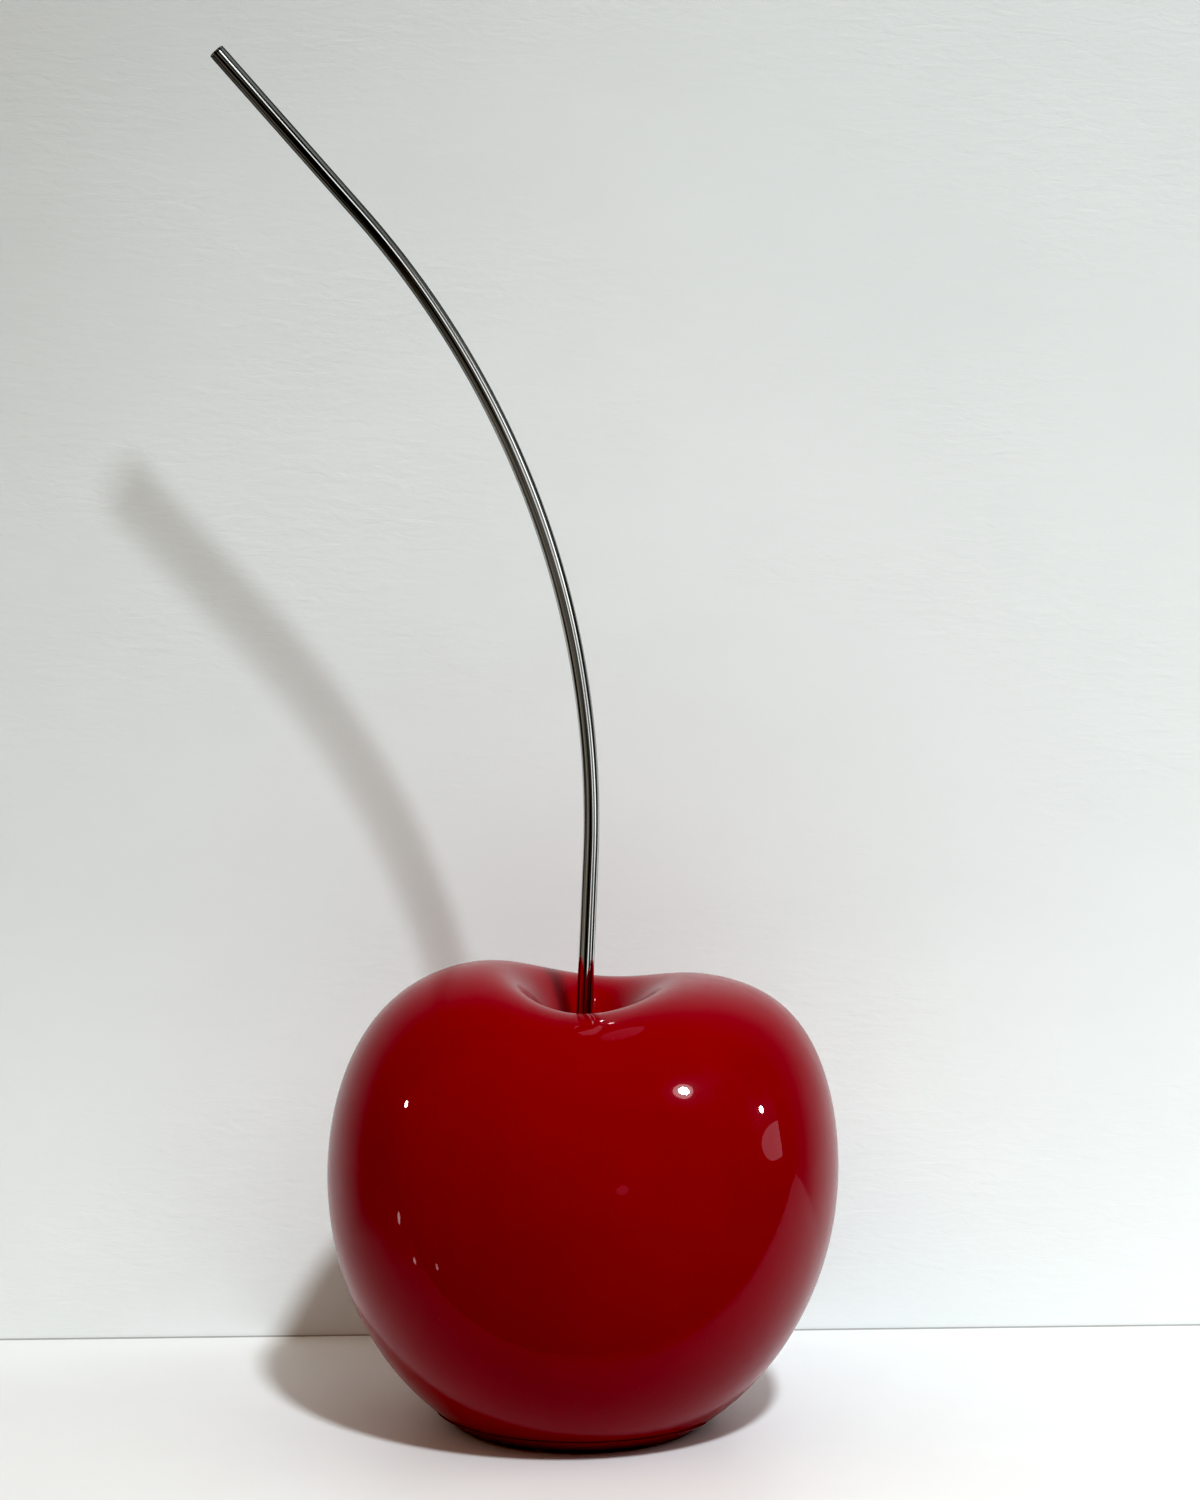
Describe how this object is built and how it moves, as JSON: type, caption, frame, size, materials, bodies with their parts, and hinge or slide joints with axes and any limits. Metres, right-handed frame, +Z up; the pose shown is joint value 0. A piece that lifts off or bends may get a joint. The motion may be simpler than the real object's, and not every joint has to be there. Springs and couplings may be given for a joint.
{
  "type": "decorative cherry sculpture",
  "caption": "Free-standing decorative cherry: a hollow glazed body with a dimpled two-lobed top, a bent chrome tube for its stem and clear pads under its foot.",
  "frame": {"origin": "on the standing surface, under the middle of the round flat foot", "axes": "+Z up, the front faces -Y, the stem bends towards -X"},
  "size_m": [0.3502, 0.2758, 0.7735],
  "materials": {
    "red_glaze": "gloss",
    "chrome_tube": "polished",
    "black_rubber": "matte",
    "clear_pad": "satin"
  },
  "bodies": {
    "root": {"cherry_body": "red_glaze", "stem_tube": "chrome_tube", "stem_cap": "chrome_tube", "stem_sleeve": "black_rubber", "bumper_pad_1": "clear_pad", "bumper_pad_2": "clear_pad", "bumper_pad_3": "clear_pad", "bumper_pad_4": "clear_pad", "bumper_pad_5": "clear_pad", "bumper_pad_6": "clear_pad"}
  },
  "joints": []
}
